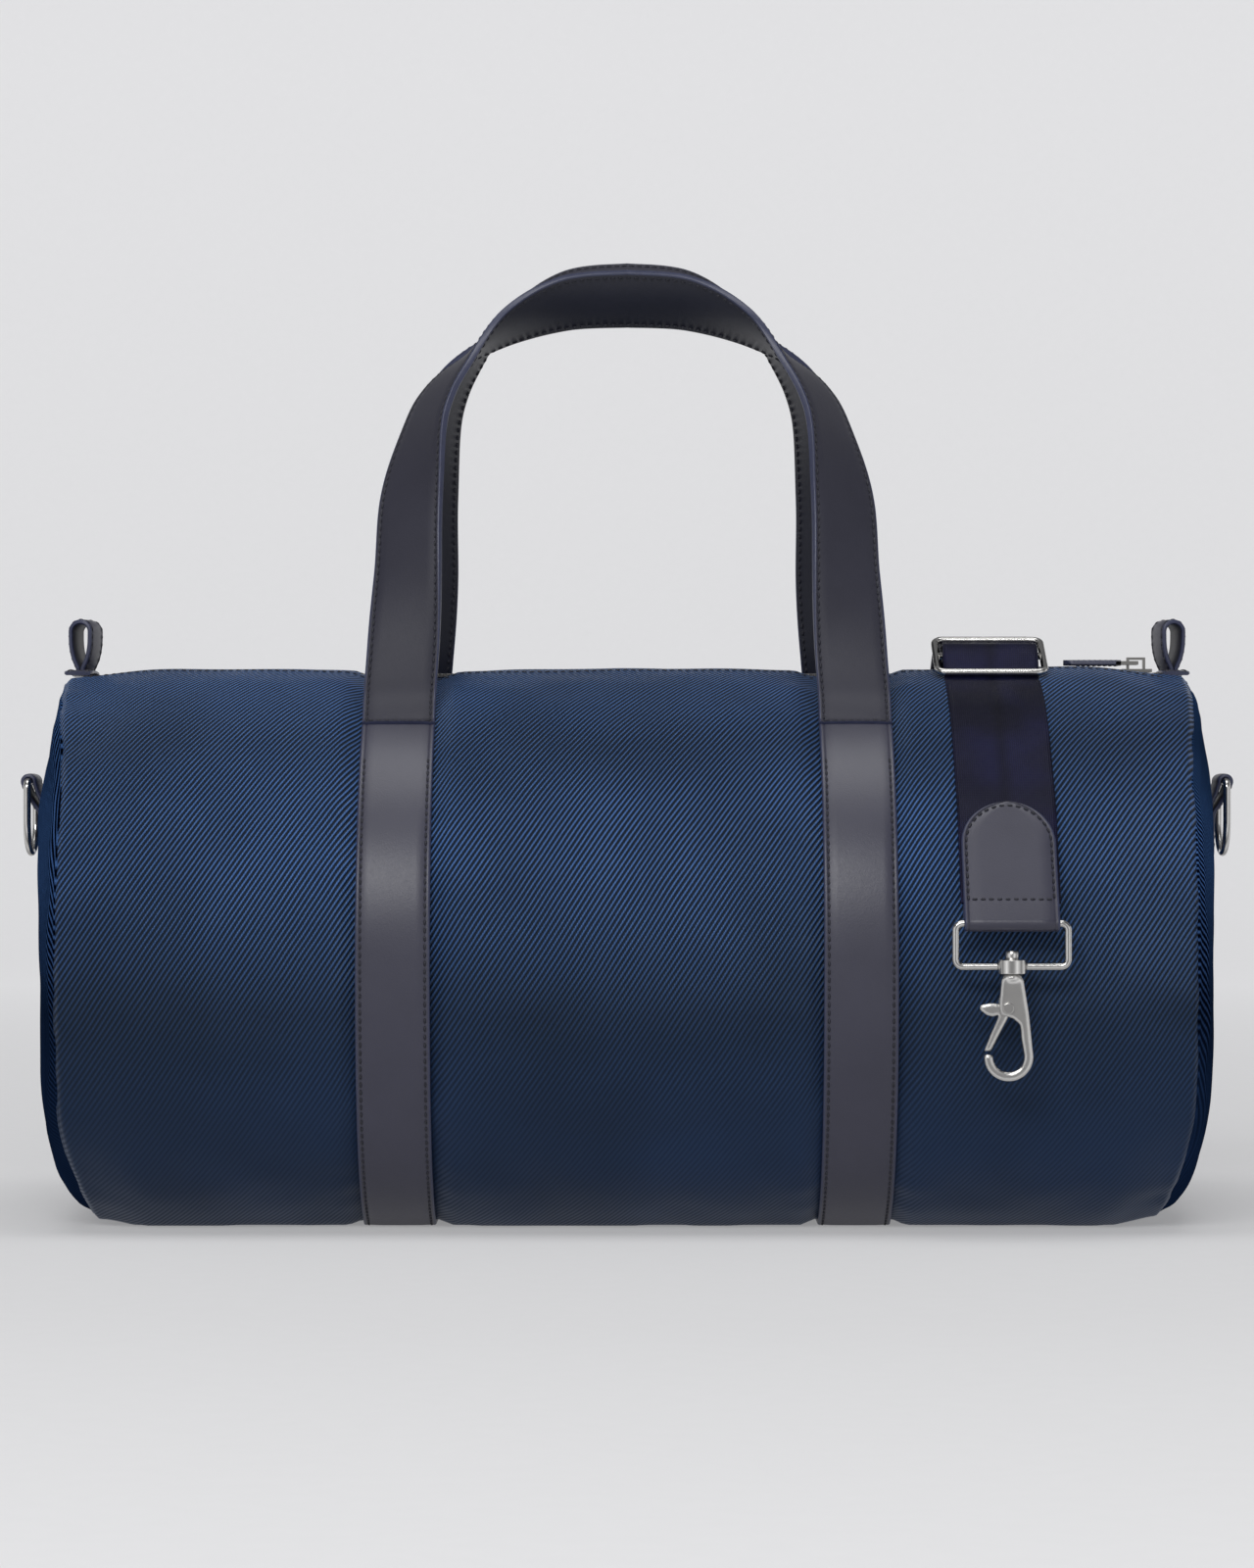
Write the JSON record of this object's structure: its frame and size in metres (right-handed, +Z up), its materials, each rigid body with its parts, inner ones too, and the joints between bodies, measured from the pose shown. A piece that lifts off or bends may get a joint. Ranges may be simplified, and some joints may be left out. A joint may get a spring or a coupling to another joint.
{
  "type": "weekender bag",
  "caption": "Soft barrel weekender bag with a top zip, belted carry handles, end rings and a detachable shoulder strap with swivel snap hooks.",
  "frame": {"origin": "centre of the flat underside", "axes": "+X to the zip's closed end, -Y to the front where the strap's free hook hangs, +Z up"},
  "size_m": [0.517, 0.4132, 0.4095],
  "materials": {
    "shell_fabric": "navy twill weave with raised diagonal ribs",
    "lining_fabric": "plain woven lining",
    "binding_tape": "woven binding tape",
    "stiffener": "moulded board, matt",
    "leather": "smooth dark navy leather, satin",
    "leather_lining": "smooth backing leather",
    "webbing": "satin nylon webbing",
    "nickel": "polished nickel plate",
    "zip_metal": "worn nickel zip metal",
    "spring_steel": "spring wire"
  },
  "bodies": {
    "bag": {"barrel_panel": "shell_fabric", "end_panel_left": "shell_fabric", "end_panel_right": "shell_fabric", "barrel_lining": "lining_fabric", "end_lining_left": "lining_fabric", "end_lining_right": "lining_fabric", "seam_binding_left": "binding_tape", "seam_binding_right": "binding_tape", "base_board": "stiffener", "inner_pocket": "lining_fabric", "belt_left": "leather", "belt_right": "leather", "zip_tape_front": "binding_tape", "zip_tape_back": "binding_tape", "zip_teeth_front": "zip_metal", "zip_teeth_back": "zip_metal", "zip_stops": "zip_metal", "zip_end_left": "leather", "zip_end_right": "leather", "pull_loop_left": "leather", "pull_loop_right": "leather", "ring_tab_left": "leather", "ring_tab_right": "leather", "strap_webbing": "webbing", "strap_slider": "nickel", "strap_tab": "leather"},
    "zip_slider": {"zip_slider_body": "zip_metal"},
    "zip_pull": {"zip_pull_link": "zip_metal", "zip_pull_leather": "leather"},
    "ring_left": {"d_ring_left": "nickel"},
    "ring_right": {"d_ring_right": "nickel"},
    "handle_front": {"handle_front_outer": "leather", "handle_front_lining": "leather_lining"},
    "handle_back": {"handle_back_outer": "leather", "handle_back_lining": "leather_lining"},
    "front_swivel_loop": {"front_loop": "nickel"},
    "front_snap_hook": {"front_hook": "nickel", "front_gate_pin": "nickel", "front_gate_spring": "spring_steel"},
    "front_hook_gate": {"front_gate": "nickel"},
    "rear_swivel_loop": {"rear_loop": "nickel"},
    "rear_snap_hook": {"rear_hook": "nickel", "rear_gate_pin": "nickel", "rear_gate_spring": "spring_steel"},
    "rear_hook_gate": {"rear_gate": "nickel"}
  },
  "joints": [
    {"name": "zip_slide", "type": "slide", "parent": "bag", "child": "zip_slider", "axis": [1, 0, 0], "range_m": [-0.41, 0]},
    {"name": "zip_pull_lift", "type": "hinge", "parent": "zip_slider", "child": "zip_pull", "pos_m": [0.218, 0, 0.2348], "axis": [0, 1, 0], "range_deg": [0, 100]},
    {"name": "ring_left_swing", "type": "hinge", "parent": "bag", "child": "ring_left", "pos_m": [-0.2552, 0, 0.184], "axis": [0, 1, 0], "range_deg": [0, 150]},
    {"name": "ring_right_swing", "type": "hinge", "parent": "bag", "child": "ring_right", "pos_m": [0.2552, 0, 0.184], "axis": [0, -1, 0], "range_deg": [0, 150]},
    {"name": "handle_front_fold", "type": "hinge", "parent": "bag", "child": "handle_front", "pos_m": [0, -0.07443, 0.20959], "axis": [1, 0, 0], "range_deg": [0, 145]},
    {"name": "handle_back_fold", "type": "hinge", "parent": "bag", "child": "handle_back", "pos_m": [0, 0.07443, 0.20959], "axis": [-1, 0, 0], "range_deg": [0, 145]},
    {"name": "front_loop_swing", "type": "hinge", "parent": "bag", "child": "front_swivel_loop", "pos_m": [0.153, -0.1385, 0.1276], "axis": [-1, 0, 0], "range_deg": [-8, 100]},
    {"name": "front_hook_swivel", "type": "hinge", "parent": "front_swivel_loop", "child": "front_snap_hook", "pos_m": [0.153, -0.1385, 0.1276], "axis": [0, 0, 1], "continuous": true},
    {"name": "front_gate_open", "type": "hinge", "parent": "front_snap_hook", "child": "front_hook_gate", "pos_m": [0.1514, -0.1385, 0.094], "axis": [0, -1, 0], "range_deg": [0, 24], "stiffness_Nm_per_rad": 0.06, "springref_deg": -17.19},
    {"name": "rear_loop_swing", "type": "hinge", "parent": "bag", "child": "rear_swivel_loop", "pos_m": [0.153, 0.206, 0.014], "axis": [1, 0, 0], "range_deg": [0, 90]},
    {"name": "rear_hook_swivel", "type": "hinge", "parent": "rear_swivel_loop", "child": "rear_snap_hook", "pos_m": [0.153, 0.206, 0.014], "axis": [0, 1, 0], "continuous": true},
    {"name": "rear_gate_open", "type": "hinge", "parent": "rear_snap_hook", "child": "rear_hook_gate", "pos_m": [0.1514, 0.2396, 0.014], "axis": [0, 0, -1], "range_deg": [0, 24], "stiffness_Nm_per_rad": 0.06, "springref_deg": -17.19}
  ]
}
